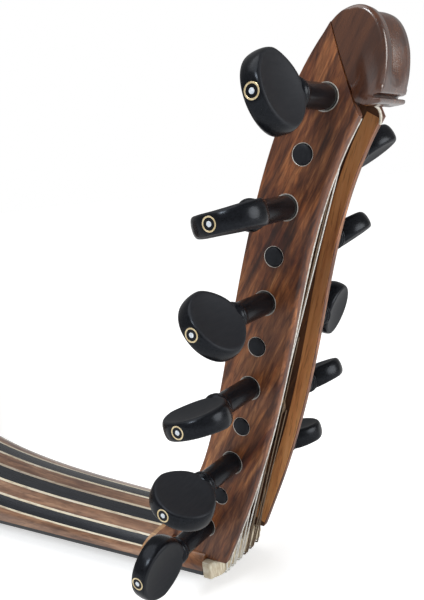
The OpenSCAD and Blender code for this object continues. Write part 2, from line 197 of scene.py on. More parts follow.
def facing(loop, left):
    """The loop in the order that has its inside on the left, or on the right."""
    loop = np.asarray(loop, float)
    x, y = loop.T
    turned_left = np.sum(x * np.roll(y, -1) - np.roll(x, -1) * y) > 0
    return loop if turned_left == left else loop[::-1]


def circle(x, y, r, count=40):
    a = np.linspace(0, 2 * np.pi, count, endpoint=False)
    return np.stack([x + r * np.cos(a), y + r * np.sin(a)], 1)


def plate_rows(loops, front, back, steps):
    """Rows of flat points from a plate's front face over its rounded edges to its back face."""
    angles = np.linspace(0, np.pi / 2, steps + 1)
    for share, rounding, order in ((0, front, angles), (1, back, angles[::-1])):
        for a in order:
            flat, depth = [], []
            for loop, r in zip(loops, rounding):
                r = np.broadcast_to(np.asarray(r, float), len(loop))
                flat.append(loop - edge_normals(loop) * (r * (1 - math.sin(a)))[:, None])
                depth.append(r * (1 - math.cos(a)))
            yield np.concatenate(flat), np.concatenate(depth), share


def plate_cap(flat, starts, sizes, first, turned):
    """Triangles that close one flat face of a plate."""
    rims = [[Vector((*flat[start + i], 0)) for i in range(n)] for start, n in zip(starts, sizes)]
    faces = []
    for tri in geometry.tessellate_polygon(rims):
        a, b, c = (flat[i] for i in tri)
        left = (b[0] - a[0]) * (c[1] - a[1]) - (b[1] - a[1]) * (c[0] - a[0]) > 0
        order = tri if left != turned else tri[::-1]
        faces.append(tuple(int(first + i) for i in order))
    return faces


def plate(outer, holes, place, front, back, steps=3):
    """A plate with rounded edges. front and back give the rounding at each face, as a number or
    as one for each loop and point. place(points, depth, share) puts flat points below the front
    face (share 0) or above the back face (share 1). The zones name where each face lies."""
    loops = [facing(outer, True)] + [facing(h, False) for h in holes]
    front = front if isinstance(front, list) else [front] * len(loops)
    back = back if isinstance(back, list) else [back] * len(loops)
    rows = list(plate_rows(loops, front, back, steps))
    sizes = [len(loop) for loop in loops]
    total = sum(sizes)
    starts = np.cumsum([0] + sizes[:-1])
    points = np.concatenate([place(*row) for row in rows])
    faces, zones = [], []
    for row in range(len(rows) - 1):
        low, high = row * total, (row + 1) * total
        for k, (start, n) in enumerate(zip(starts, sizes)):
            zone = "edge" if k == 0 else "rim" if row < steps else "hole"
            for i in range(n):
                a, b = start + i, start + (i + 1) % n
                faces.append(tuple(int(v) for v in (low + a, low + b, high + b, high + a)))
                zones.append(zone)
    for row, turned, zone in ((0, False, "front"), (len(rows) - 1, True, "back")):
        cap = plate_cap(rows[row][0], starts, sizes, row * total, turned)
        faces += cap
        zones += [zone] * len(cap)
    points, faces = outward(points, faces)
    return points, faces, zones


def flat_faces(obj, zones):
    """Keeps a plate's flat faces free of the shading of its rounded edges."""
    obj.data.polygons.foreach_set("use_smooth", [z not in ("front", "back") for z in zones])
    obj.data.update()


# ---- Materials ----

def shader(name, **values):
    """A new material, with its nodes, its links and its shader, whose sockets take the values."""
    material = bpy.data.materials.new(name)
    material.use_nodes = True
    tree = material.node_tree
    bsdf = tree.nodes["Principled BSDF"]
    for key, value in values.items():
        bsdf.inputs[key.replace("_", " ")].default_value = value
    return material, tree, bsdf


def coordinates(tree, turn=(0, 0, 0), scale=(1, 1, 1), offset=(0, 0, 0)):
    """The object's own coordinates, turned first and scaled after."""
    where = tree.nodes.new("ShaderNodeTexCoord")
    rotate = tree.nodes.new("ShaderNodeMapping")
    rotate.inputs["Rotation"].default_value = turn
    rotate.inputs["Location"].default_value = offset
    stretch = tree.nodes.new("ShaderNodeMapping")
    stretch.inputs["Scale"].default_value = scale
    tree.links.new(where.outputs["Object"], rotate.inputs["Vector"])
    tree.links.new(rotate.outputs["Vector"], stretch.inputs["Vector"])
    return stretch.outputs["Vector"]


def noise(tree, vector, scale=1.0, detail=4.0, roughness=0.55, distortion=0.0):
    node = tree.nodes.new("ShaderNodeTexNoise")
    node.inputs["Scale"].default_value = scale
    node.inputs["Detail"].default_value = detail
    node.inputs["Roughness"].default_value = roughness
    node.inputs["Distortion"].default_value = distortion
    tree.links.new(vector, node.inputs["Vector"])
    return node.outputs["Fac"]


def ramp(tree, value, stops):
    """Colours along a value, from (place, colour) pairs."""
    node = tree.nodes.new("ShaderNodeValToRGB")
    elements = node.color_ramp.elements
    while len(elements) < len(stops):
        elements.new(0.5)
    for element, (place, colour) in zip(elements, stops):
        element.position = place
        element.color = (*colour, 1) if len(colour) == 3 else colour
    tree.links.new(value, node.inputs["Fac"])
    return node.outputs["Color"]


def mix(tree, kind, factor, a, b):
    """Two colours mixed; any of the three inputs is a socket or a value."""
    node = tree.nodes.new("ShaderNodeMix")
    node.data_type = "RGBA"
    node.blend_type = kind
    # Sockets 6 and 7 and output 2 are the colour ones
    for socket, value in ((node.inputs[0], factor), (node.inputs[6], a), (node.inputs[7], b)):
        if hasattr(value, "is_linked"):
            tree.links.new(value, socket)
        else:
            socket.default_value = (*value, 1) if isinstance(value, tuple) else value
    return node.outputs[2]


def bump(tree, bsdf, height, strength, depth=0.0003):
    node = tree.nodes.new("ShaderNodeBump")
    node.inputs["Strength"].default_value = strength
    node.inputs["Distance"].default_value = depth
    tree.links.new(height, node.inputs["Height"])
    tree.links.new(node.outputs["Normal"], bsdf.inputs["Normal"])


def as_roughness(tree, bsdf, value, low, high):
    node = tree.nodes.new("ShaderNodeMapRange")
    node.inputs["To Min"].default_value = low
    node.inputs["To Max"].default_value = high
    tree.links.new(value, node.inputs["Value"])
    tree.links.new(node.outputs["Result"], bsdf.inputs["Roughness"])


def wood(name, dark, mid, light, turn=(0, 0, 0), offset=(0, 0, 0), grain=260, gloss=0.5, rough=0.34,
         figure=0.0):
    """Lacquered wood whose grain runs along X once its coordinates are turned. The figure is how
    strongly short slanting flecks and dark patches break the grain."""
    material, tree, bsdf = shader(name, Coat_Weight=gloss, Coat_Roughness=0.12, IOR=1.5)
    streak = noise(tree, coordinates(tree, turn, (grain / 16, grain, grain), offset), 1, 8, 0.62, 0.5)
    broad = noise(tree, coordinates(tree, turn, (6, 46, 46), offset), 1, 3, 0.5, 0.8)
    pores = noise(tree, coordinates(tree, turn, (110, 1500, 1500), offset), 1, 2, 0.5)
    slant = (turn[0], turn[1] + 0.22, turn[2])
    flecks = noise(tree, coordinates(tree, slant, (55, 420, 420), offset), 1, 4, 0.6, 1.2)
    patches = noise(tree, coordinates(tree, turn, (22, 70, 70), offset), 1, 5, 0.6, 1.5)
    colour = ramp(tree, streak, [(0.3, dark), (0.5, mid), (0.7, light)])
    shade = ramp(tree, broad, [(0.34, (0.45, 0.40, 0.40)), (0.52, (0.92, 0.9, 0.9)), (0.7, (1, 1, 1))])
    dashes = ramp(tree, pores, [(0.33, (0.42, 0.36, 0.34)), (0.43, (1, 1, 1))])
    bright = ramp(tree, flecks, [(0.38, (0.62, 0.52, 0.46)), (0.5, (1, 1, 1)), (0.66, (1.5, 1.42, 1.3))])
    deep = ramp(tree, patches, [(0.36, (0.42, 0.27, 0.24)), (0.52, (1, 0.94, 0.9)), (0.7, (1.1, 1.1, 1))])
    colour = mix(tree, "MULTIPLY", 0.85, colour, shade)
    colour = mix(tree, "MULTIPLY", 0.6, colour, dashes)
    colour = mix(tree, "MULTIPLY", figure, colour, bright)
    colour = mix(tree, "MULTIPLY", figure, colour, deep)
    tree.links.new(colour, bsdf.inputs["Base Color"])
    as_roughness(tree, bsdf, streak, rough + 0.1, rough - 0.06)
    bump(tree, bsdf, dashes, 0.25, 0.00015)
    return material


def ebony(name, base, rough, coat=0.25, turn=(0, 0, 0)):
    """Near black wood, polished or matt, with a faint fine grain."""
    material, tree, bsdf = shader(name, Coat_Weight=coat, Coat_Roughness=0.2, IOR=1.5)
    bsdf.inputs["Specular Tint"].default_value = (0.82, 0.9, 1, 1)
    fine = noise(tree, coordinates(tree, turn, (60, 900, 900)), 1, 5, 0.6)
    tone = ramp(tree, fine, [(0.35, tuple(0.6 * c for c in base)), (0.6, base),
                             (0.75, tuple(1.7 * c for c in base))])
    tree.links.new(tone, bsdf.inputs["Base Color"])
    as_roughness(tree, bsdf, fine, rough - 0.05, rough + 0.08)
    bump(tree, bsdf, fine, 0.08, 0.0001)
    return material


def peg_ebony():
    """Ebony that is polished on the rim of a peg's head and matt in its hollows."""
    material, tree, bsdf = shader("peg_ebony", IOR=1.5, Specular_IOR_Level=0.2)
    bsdf.inputs["Specular Tint"].default_value = (0.8, 0.88, 1, 1)
    where = tree.nodes.new("ShaderNodeAttribute")
    where.attribute_name = "hollow"
    matt = where.outputs["Fac"]
    fine = noise(tree, coordinates(tree, (0, 0, math.radians(90)), (120, 1200, 1200)), 1, 4, 0.6)
    polished = ramp(tree, fine, [(0.3, (0.003, 0.0033, 0.004)), (0.7, (0.009, 0.0095, 0.012))])
    dished = ramp(tree, fine, [(0.3, (0.014, 0.0145, 0.017)), (0.7, (0.019, 0.0195, 0.022))])
    tree.links.new(mix(tree, "MIX", matt, polished, dished), bsdf.inputs["Base Color"])
    as_roughness(tree, bsdf, matt, 0.24, 0.5)
    bump(tree, bsdf, fine, 0.05, 0.0001)
    return material


def plain(name, low, high, grain=400, rough=0.35, metallic=0.0, coat=0.0, strength=0.1, stretch=(1, 1, 1)):
    """A fine mottled surface between two colours, for bone, brass, nylon, pearl and the like."""
    material, tree, bsdf = shader(name, Metallic=metallic, Coat_Weight=coat, Coat_Roughness=0.1)
    spots = noise(tree, coordinates(tree, scale=tuple(grain * s for s in stretch)), 1, 5, 0.6)
    tree.links.new(ramp(tree, spots, [(0.35, low), (0.65, high)]), bsdf.inputs["Base Color"])
    as_roughness(tree, bsdf, spots, rough - 0.06, rough + 0.08)
    bump(tree, bsdf, spots, strength, 0.0001)
    return material


CHEEK_TURN = (0, math.radians(56), 0)
WALNUT_DARK = (0.058, 0.017, 0.006)
WALNUT_MID = (0.20, 0.071, 0.024)
WALNUT_LIGHT = (0.44, 0.195, 0.075)

cheek_wood = wood("cheek_walnut", WALNUT_DARK, WALNUT_MID, WALNUT_LIGHT, CHEEK_TURN, gloss=0.05,
                  grain=400, rough=0.42, figure=1.0)
inner_wood = wood("inner_walnut", (0.05, 0.02, 0.008), (0.115, 0.045, 0.018), (0.18, 0.075, 0.03),
                  CHEEK_TURN, gloss=0.1, rough=0.5)
edge_wood = wood("edge_wood", (0.52, 0.19, 0.06), (0.82, 0.37, 0.13), (0.92, 0.50, 0.22),
                 (0, math.radians(71), 0), gloss=0.15, rough=0.45)
# Pale edge colour for the peg-hole rims and the near cheek's inner arris: a painted glint on lacquered
# edges, with some worn lacquer
glint_and_wear_edge = plain("glint_and_wear_edge", (0.55, 0.49, 0.42), (0.9, 0.88, 0.83), 900, 0.3, coat=0.4)
finial_wood = wood("finial_rosewood", (0.040, 0.014, 0.008), (0.085, 0.030, 0.014), (0.14, 0.052, 0.022),
                   CHEEK_TURN, grain=200, gloss=0.8, rough=0.26)
foot_wood = wood("foot_walnut", WALNUT_DARK, WALNUT_MID, WALNUT_LIGHT, (0, math.radians(-25), 0))
strip_wood = wood("strip_walnut", (0.12, 0.055, 0.030), (0.28, 0.15, 0.085), (0.44, 0.27, 0.17), gloss=0.6,
                  figure=0.4)
black_wood = ebony("blackwood", (0.010, 0.011, 0.015), 0.26, 0.6)
board_wood = ebony("fingerboard_ebony", (0.014, 0.012, 0.012), 0.4)
peg_wood = peg_ebony()
maple = wood("maple", (0.66, 0.55, 0.38), (0.82, 0.74, 0.56), (0.90, 0.84, 0.70), gloss=0.5, grain=500)
band_wood = wood("band_wood", (0.32, 0.16, 0.07), (0.46, 0.26, 0.12), (0.58, 0.36, 0.18), grain=400)
spruce = wood("spruce", (0.46, 0.27, 0.12), (0.62, 0.42, 0.22), (0.72, 0.53, 0.31), grain=420, gloss=0.15,
              rough=0.5)
rib_wood = wood("rib_walnut", (0.06, 0.022, 0.011), (0.15, 0.062, 0.03), (0.26, 0.12, 0.055), grain=240,
                gloss=0.8, rough=0.25)
bridge_wood = wood("bridge_walnut", WALNUT_DARK, WALNUT_MID, WALNUT_LIGHT, (0, 0, math.radians(90)))
bone = plain("bone", (0.52, 0.42, 0.27), (0.80, 0.74, 0.60), 300, 0.35, coat=0.3, stretch=(1, 6, 1))
nylon = plain("nylon", (0.72, 0.71, 0.66), (0.9, 0.9, 0.86), 700, 0.25, coat=0.3)
wound = plain("wound_string", (0.12, 0.085, 0.055), (0.30, 0.22, 0.15), 2600, 0.35, 0.7, strength=0.5)
brass = plain("eye_ring_brass", (0.62, 0.47, 0.24), (0.88, 0.74, 0.48), 900, 0.3, 0.5)
pearl = plain("eye_pearl", (0.48, 0.54, 0.62), (0.80, 0.84, 0.88), 1400, 0.22, coat=0.6)
# Cream colour of the bead at the slot's top, a painted highlight
cream = plain("slot_glint_cream", (0.66, 0.60, 0.48), (0.86, 0.82, 0.72), 600, 0.3, coat=0.5)
rosette_wood = wood("rosette_wood", (0.40, 0.22, 0.10), (0.55, 0.33, 0.16), (0.66, 0.43, 0.23), grain=500)


# ---- Pegs ----

HEAD_LEN = 22.5
HEAD_R = 12.0
HEAD_WEB = 2.4
HOLLOW_R = 38.0
TIP_R = 2.7
NECK_R = 4.8
WIDEST = 0.53
HOLLOW_AT = 0.4
EYE_R = 2.38
WIND_R = 5.4
WIND_Y = [-11.4, 10.8, -10.4, 9.6, -9.4, 7.4, -7.2, 4.8, -4.6, 2.4, -1.8]
# For each peg from the lowest: distance from cheek to tip, and angle of its head at rest
REACH = [43.5, 46.5, 44, 47.5, 45.2, 47, 45.2, 45.5, 47, 43.5, 46.2]
HEAD_TURN = [12, -80, -62, -70, 78, -20, -35, -60, 81, -60, -12]
PEGS = range(11)


def peg_axis(i):
    """Place of peg i's axis as (x, z) from the nut, from its joint."""
    joint = next(j for j in frame["joints"] if j["name"] == f"peg_{i + 1}_turn")
    return joint["pos_m"][0] / MM - NUT_X, joint["pos_m"][2] / MM - NUT_Z


def is_near(i):
    return i % 2 == 0


def half_at(z):
    return taper(z, FOOT_HALF, TOP_HALF)


def inner_at(z):
    return taper(z, INNER_FOOT, INNER_TOP)


def placed(i, points):
    """Points of peg i, drawn along +Z from the outer face of its cheek, in their place."""
    x, z = peg_axis(i)
    side = 1 if is_near(i) else -1
    along = np.asarray(points, float)
    return np.stack([NUT_X + x + along[:, 0], side * (along[:, 2] - half_at(z)),
                     NUT_Z + z - side * along[:, 1]], 1)


def head_profile():
    """Outline of the turned head, as radii and distances from its tip."""
    a = np.radians(np.linspace(0, 90, 44))
    tip_r = TIP_R + (HEAD_R - TIP_R) * np.sin(a) ** 1.25
    tip_z = WIDEST * HEAD_LEN * (1 - np.cos(a))
    end_r = NECK_R + (HEAD_R - NECK_R) * np.cos(a) ** 1.35
    end_z = HEAD_LEN * (WIDEST + (1 - WIDEST) * np.sin(a) ** 1.35)
    flat = np.array([0.02, 1, 2])
    r = np.concatenate([flat, tip_r, end_r[1:], flat[::-1]])
    z = np.concatenate([0 * flat, tip_z, end_z[1:], 0 * flat + HEAD_LEN])
    return r, z


def peg_head(turn):
    """Head of a peg with its tip at 0, and the hollow share of each point."""
    radii, heights = head_profile()
    phi, r = np.meshgrid(np.linspace(0, 2 * np.pi, 120, False), radii)
    z = np.repeat(heights[:, None], phi.shape[1], 1)
    full, across = r * np.cos(phi), r * np.sin(phi)
    room = HOLLOW_R**2 - across**2 - (z - HOLLOW_AT * HEAD_LEN) ** 2
    dished = HOLLOW_R + HEAD_WEB - np.sqrt(room)
    soft = 3.0
    near = np.maximum(soft - np.abs(np.abs(full) - dished), 0) / soft
    thick = np.minimum(np.abs(full), dished) - near**2 * soft / 4
    thick = np.sign(full) * np.maximum(thick, 0)
    share = smooth(-0.4, 1.2, np.abs(full) - dished)
    a = math.radians(turn)
    x = thick * math.cos(a) - across * math.sin(a)
    y = thick * math.sin(a) + across * math.cos(a)
    rings = np.stack([x, y, z], 2)
    return *outward(*skin(rings)), share.ravel()


def peg_shaft(w0, w1):
    """Collar with two turned rings behind the head at w0, and the tapering shaft to w1."""
    collar = [(4.9, -0.6), (5.1, -0.2), (5.3, 0.2), (5.32, 0.6), (5.15, 1.0), (4.75, 1.2), (4.75, 1.35),
              (5.05, 1.6), (5.1, 1.95), (4.9, 2.3), (4.5, 2.6), (SHAFT_R + 0.1, 3.1)]
    profile = [(0.01, w0 - 1.5), (4.2, w0 - 1.5)] + [(r, w0 + w) for r, w in collar]
    profile += [(SHAFT_R, w0 + 5), (SHAFT_R, 0), (SHAFT_R - SHAFT_TAPER * (w1 - 0.4), w1 - 0.4),
                (SHAFT_R - SHAFT_TAPER * w1 - 0.35, w1 - 0.05), (1.5, w1), (0.01, w1)]
    return lathe(profile, 64)


def make_peg(i):
    """A peg's turned wood and its eye."""
    name = f"peg_{i + 1}"
    body = f"{name}_turning"
    _, z = peg_axis(i)
    head, head_faces, share = peg_head(HEAD_TURN[i])
    shaft = peg_shaft(HEAD_LEN - REACH[i], 2 * half_at(z) + 0.6)
    head = head - (0, 0, REACH[i])
    points, faces = joined([(head, head_faces), shaft])
    points, faces = outward(placed(i, points), faces)
    peg = piece(f"{name}_turned", points, faces, [peg_wood], body, "ebony", [name], 60)
    hollow = peg.data.attributes.new("hollow", "FLOAT", "POINT")
    matt_end = shaft[0][:, 2] > 2 * half_at(z) + 0.5
    hollow.data.foreach_set("value", np.concatenate([share, matt_end]).astype(np.float32))
    rim = ring([(EYE_R - 0.5, 0.4), (EYE_R - 0.5, 0), (EYE_R - 0.4, -0.06), (EYE_R - 0.12, -0.06),
                (EYE_R, 0), (EYE_R, 0.4)])
    dot = lathe([(0.01, 0.4), (0.85, 0.4), (0.85, 0), (0.7, -0.05), (0.3, -0.07), (0.01, -0.08)], 32)
    points, faces = joined([rim, dot])
    points = points - (0, 0, REACH[i])
    zones = [0] * len(rim[1]) + [1] * len(dot[1])
    piece(f"{name}_eye", *outward(placed(i, points), faces), [brass, pearl], body, "eye",
          [f"peg_eye_{i + 1}"], 50, zones)


def make_winding(i):
    """Two layers of turns of string side by side round a peg's shaft."""
    _, z = peg_axis(i)
    middle = (1 if is_near(i) else -1) * WIND_Y[i] + half_at(z)
    a = np.linspace(0, 2 * np.pi * 3.6, 140)
    across = middle - 1.2 + 2.4 * a / a[-1]
    radius = SHAFT_R - SHAFT_TAPER * across + 0.42
    coil = np.stack([radius * np.cos(a), radius * np.sin(a), across], 1)
    top = (WIND_R - 0.42) * np.ones(len(a))
    second = np.stack([top * np.cos(a + 1), top * np.sin(a + 1), across[::-1]], 1)
    points, faces = joined([tube(coil, 0.4, 8), tube(second, 0.38, 8)])
    piece(f"peg_{i + 1}_string_turns", *outward(placed(i, points), faces), [nylon if is_near(i) else wound],
          f"peg_{i + 1}_turning", "nylon" if is_near(i) else "wound_string",
          [f"string_winding_{i + 1}"])


for i in PEGS:
    make_peg(i)
    make_winding(i)


# ---- Strings ----

STRING_R = 0.4
TREBLE_R = 0.3
BASS_R = 0.33
# For each string: its course, counted from the middle one, and its side of the pair
COURSE = [-2.5, 2.5, -2.5, 1.5, -1.5, 1.5, -1.5, 0.5, -0.5, 0.5, -0.5]
PAIR = [-0.5, 0, 0.5, 0.5, -0.5, -0.5, 0.5, 0.5, -0.5, -0.5, 0.5]
BRIDGE_PITCH = 17
BRIDGE_PAIR = 3
NUT_PITCH = 4.9
NUT_PAIR = 1.6
NUT_FRONT = 5.2
# Where the strings leave the nut, as (x, z) from it
LEAVE = (NUT_FRONT + 0.5, -0.8)
BRIDGE_W = 24.0
STRING_Z = FACE_Z - 7.4
KNOT_STRING = 8
KNOT_Z = 92


def across_nut(i):
    """Place of string i along the nut, from its middle."""
    return COURSE[i] * NUT_PITCH + PAIR[i] * NUT_PAIR


def meeting(i):
    """Where string i passes just in front of its winding, as (x, z) from the nut."""
    x, z = np.subtract(peg_axis(i), LEAVE)
    far = math.hypot(x, z)
    r = WIND_R + 0.3 + STRING_R
    reach = math.sqrt(far**2 - r**2)
    a = math.atan2(z, x) - math.asin(r / far)
    return LEAVE[0] + reach * math.cos(a), LEAVE[1] + reach * math.sin(a)


def string_route(i):
    """Points of string i from behind the bridge to its peg, with a soft bend at the nut."""
    at_bridge = COURSE[i] * BRIDGE_PITCH + PAIR[i] * BRIDGE_PAIR
    at_nut = across_nut(i)
    x, z = meeting(i)
    corners = [(-BRIDGE_W / 2 - 0.6, at_bridge, STRING_Z), (BRIDGE_W / 2, at_bridge, STRING_Z),
               (NUT_X + LEAVE[0], at_nut, NUT_Z + LEAVE[1]), (NUT_X + x, WIND_Y[i], NUT_Z + z)]
    path = [np.array(corners[0])]
    for before, corner, after in zip(corners, corners[1:], corners[2:]):
        before, corner, after = (np.array(p, float) for p in (before, corner, after))
        start = corner + 0.8 * (before - corner) / np.linalg.norm(before - corner)
        end = corner + 0.8 * (after - corner) / np.linalg.norm(after - corner)
        for t in (0, 0.3, 0.5, 0.7, 1):
            path.append((1 - t) ** 2 * start + 2 * t * (1 - t) * corner + t * t * end)
    straight = np.linspace(path[-1], corners[-1], 12)[1:]
    return np.array(path + list(straight))


def knot(middle, size, seed):
    """A small uneven knot of string round a point."""
    draw = random.Random(seed)
    a = np.linspace(0, 4 * np.pi, 60)
    lift = draw.uniform(0.8, 1.2)
    path = np.stack([size * 0.7 * np.cos(a) * (1 + 0.2 * np.sin(3 * a)), size * 0.55 * np.sin(a),
                     size * lift * np.sin(a * 1.5)], 1)
    return tube(np.asarray(middle) + path, 0.42, 8)


def make_strings(name, numbers, radius, material, slot):
    """One set of strings with its knots behind the bridge, and the knot that lies in the slot."""
    parts = []
    for i in numbers:
        route = string_route(i)
        parts.append(tube(route, radius, 12))
        parts.append(knot(route[0] - (1.2, 0, 0), 0.85, 40 + i))
        if i == KNOT_STRING:
            parts.append(knot(route[np.argmin(np.abs(route[:, 2] - NUT_Z - KNOT_Z))], 0.8, 5))
    piece(f"{name}_set", *joined(parts), [material], slot=slot, replaces=[f"{name}_strings"])


make_strings("treble", range(0, 11, 2), TREBLE_R, nylon, "nylon")
make_strings("bass", range(1, 11, 2), BASS_R, wound, "wound_string")


# ---- Pegbox ----

# Heights from the nut's zero of the seats under the cheeks and the box, and of the nut's top
CHEEK_SEAT = 8.6
BOX_SEAT = 10.6
NUT_TOP = 6.5
NUT_SEAT = -0.7
NUT_ROUND = 1.2
GROOVE_R = 0.5
FINIAL_ROUND = 1.6


def from_nut(x, y, z):
    return np.stack([NUT_X + np.asarray(x), np.asarray(y), NUT_Z + np.asarray(z)], 1)


def cheek_outline():
    """Outline of a cheek as (x, z) from the nut, and the rounding of its outer arris."""
    front = bez(FRONT, np.linspace(0.022, 0.97, 90))
    top = bez(BLOCK_EDGE, np.linspace(1, 0, 16))
    back = bez(BACK, np.linspace(0.95, 0, 70))
    heel = bez(HEEL, np.linspace(0.95, 0.55, 12))
    foot = np.array([(-17, CHEEK_SEAT), (-1, CHEEK_SEAT), (-1, NUT_TOP), (NUT_FRONT, NUT_TOP)])
    run = np.linspace(0, 1, 90)
    shape = 0.4 + 0.9 * smooth(0, 0.05, run) * smooth(1, 0.95, run)
    others = [np.full(16, 0.15), np.full(70, 0.8), np.full(12, 0.6), np.full(4, 0.2)]
    rounding = np.concatenate([shape] + others)
    return np.concatenate([front, top, back, heel, foot]), rounding


def make_cheek(name, side):
    """One side plate of the pegbox with its peg holes, from its outer to its inner face."""
    outline, rounding = cheek_outline()
    holes, rims = [], []
    for i in PEGS:
        x, z = peg_axis(i)
        own = is_near(i) == (side < 0)
        deep = 2.5 if own else 2 * half_at(z) - 2.5
        holes.append(circle(x, z, SHAFT_R + 0.06 - SHAFT_TAPER * deep))
        rims.append(0.5 if own else 0.2)

    def place(flat, depth, share):
        y = half_at(flat[:, 1]) - depth if share == 0 else inner_at(flat[:, 1]) + depth
        return from_nut(flat[:, 0], side * y, flat[:, 1])

    points, faces, zones = plate(outline, holes, place, [rounding] + rims, [0.3] + [0.2] * 11, 4)
    # The rounded rims of the peg holes take the pale edge colour, a painted glint
    kinds = {"front": 0, "edge": 0, "back": 1, "rim": 2, "hole": 1}
    obj = piece(name + "_plate", points, faces, [cheek_wood, inner_wood, glint_and_wear_edge],
                replaces=[name], zones=[kinds[z] for z in zones], sharp=50)
    flat_faces(obj, zones)


def make_liner(name, side):
    """Thin light strip inside a cheek, along its front edge."""
    rings = []
    for t in np.linspace(0.03, 0.965, 90):
        x0, z0 = beside(FRONT, t, -0.35)[0]
        x1, z1 = beside(FRONT, t, -5.4)[0]
        deep0, deep1 = inner_at(z0), inner_at(z1)
        corners = [(x0, deep0 + 0.3, z0), (x0, deep0 - 0.22, z0),
                   (x1, deep1 - 0.22, z1), (x1, deep1 + 0.3, z1)]
        rings.append([(NUT_X + x, side * y, NUT_Z + z) for x, y, z in corners])
    piece(name, *outward(*skin(rings)), [edge_wood])


def make_glint_line(name, side, radius, start, end):
    """A pale line along the inner front edge of a cheek: a painted glint on its arris, with some worn
    lacquer.
    """
    draw = random.Random(7 + side)
    path, sizes = [], []
    for t in np.linspace(start, end, 160):
        x, z = beside(FRONT, t, -0.15)[0]
        path.append((NUT_X + x, side * (inner_at(z) - 0.1), NUT_Z + z))
        sizes.append(radius * (1 + 0.25 * draw.uniform(-1, 1)))
    sizes = np.convolve(np.pad(sizes, 3, "edge"), np.ones(7) / 7, "valid")
    piece(name, *tube(path, sizes, 10), [glint_and_wear_edge])


def make_slot_glint():
    """Pale bead across the top of the string slot: a painted highlight on the slot's rounded top edge."""
    a = np.linspace(0, np.pi / 2, 40)
    y = -8.3 + 16 * np.sin(a)
    z = 177.3 - 6.2 * (1 - np.cos(a)) ** 1.2
    x = 77.0 - 2.1 * (177.3 - z) / 6.2
    piece("slot_top_glint", *tube(from_nut(x, y, z), 0.5, 14), [cream])


def flute(y, z):
    """Depth of the hollow down the middle of the finial's face."""
    return 2.5 * max(0, 1 - abs(y) / 7.5) ** 1.15 * smooth(180.5, 189, z) * (1 - 0.25 * smooth(198, 207, z))


def finial_outline():
    """Outline of the finial from the nut, with its undercut groove and lip."""
    dome = bez([(68.3, 203), (74.6, 208.6), (84.5, 208), (85.4, 193)], np.linspace(0, 1, 40))
    brow = bez([(85.4, 193), (85.5, 188), (84.4, 183), (83, 179.6)], np.linspace(0.04, 1, 24))
    chin = [(82.2, 179.25), (80.6, 179.2), (80.3, 178.8), (80.6, 178.45), (82.2, 178.2), (82.7, 177.9),
            (82.6, 177), (82.1, 176.6), (80, 176.45), (77.5, 176.4)]
    behind = bez(BLOCK_EDGE, np.linspace(1, 0, 24))[:-1]
    return np.concatenate([dome, brow, chin, behind])[::-1]


def make_finial():
    """The carved block that ends the pegbox, with its fluted face."""
    outline = finial_outline()
    out = edge_normals(outline)
    top = TOP_HALF
    soft = FINIAL_ROUND
    stations = np.concatenate([-top + soft * (1 - np.cos(np.linspace(0, np.pi / 2, 8))),
                               np.linspace(-top + soft, top - soft, 41)[1:-1],
                               top - soft * (1 - np.cos(np.linspace(np.pi / 2, 0, 8)))])
    rings = []
    for y in stations:
        past = max(0, abs(y) - (top - soft)) / soft
        inset = soft * (1 - math.sqrt(max(0, 1 - past * past)))
        share = np.clip(1 - smooth(72, 76, outline[:, 0]), 0, 1)
        keep = np.where(outline[:, 1] < 181, 0.2, 1 - 0.7 * share)
        flat = outline - out * (inset * keep)[:, None]
        depth = np.array([flute(y, z) for z in flat[:, 1]]) * smooth(74, 79, flat[:, 0])
        rings.append(from_nut(flat[:, 0] - depth, np.full(len(flat), y), flat[:, 1]))
    piece("finial_carved", *outward(*skin(rings)), [finial_wood], slot="dark_walnut", replaces=["finial"],
          sharp=50)


def make_nut():
    """The nut: a bone bar with rounded ends and arrises and a round groove for each string."""
    across = np.linspace(-NUT_HALF, NUT_HALF, 240)
    low = np.full(240, NUT_SEAT)
    for i in PEGS:
        y = across_nut(i)
        near = np.abs(across - y) < GROOVE_R
        deep = np.sqrt(GROOVE_R**2 - (across[near] - y) ** 2) * 1.3
        low[near] = np.maximum(low[near], NUT_SEAT + deep)
    rings = []
    for y, base in zip(across, low):
        past = max(0, abs(y) - (NUT_HALF - NUT_ROUND)) / NUT_ROUND
        r = NUT_ROUND * (1 - math.sqrt(max(0, 1 - past * past)))
        x0, x1, z0, z1 = -1 + 0.3 * r, NUT_FRONT - r, base + r, NUT_TOP - r
        x1 -= 2.0 * smooth(15, 20, abs(y))
        quarter = np.linspace(0, np.pi / 2, 6)
        ends = [(x0, z0)] + [(x1 - 1 + math.sin(a), z0 + 1 - math.cos(a)) for a in quarter]
        ends += [(x1 - 1 + math.cos(a), z1 - 1 + math.sin(a)) for a in quarter] + [(x0, z1)]
        rings.append([(NUT_X + x, y, NUT_Z + z) for x, z in ends])
    piece("nut_bar", *outward(*skin(rings)), [bone], slot="bone", replaces=["nut"])


def make_pegbox_back():
    """The board that closes the pegbox behind, bent from the heel up to the finial."""
    outer = np.concatenate([bez(HEEL, np.linspace(0.2, 0.95, 24)), bez(BACK, np.linspace(0, 0.95, 70))])
    inner = np.concatenate([[(-20, BOX_SEAT), (-6.5, BOX_SEAT)], beside(HEEL, np.linspace(0.6, 0.9, 8), 3.2),
                            beside(BACK, np.linspace(0, 0.95, 70), 2.5)])
    outline = np.concatenate([inner, outer[::-1]])
    rings = []
    for share in np.linspace(-1, 1, 9):
        y = share * (inner_at(outline[:, 1]) - 0.02)
        rings.append(from_nut(outline[:, 0], y, outline[:, 1]))
    piece("pegbox_back_board", *outward(*skin(rings)), [cheek_wood], replaces=["pegbox_back"], sharp=30)


for name, side in (("near_cheek", -1), ("far_cheek", 1)):
    make_cheek(name, side)
    make_liner(name + "_liner", side)
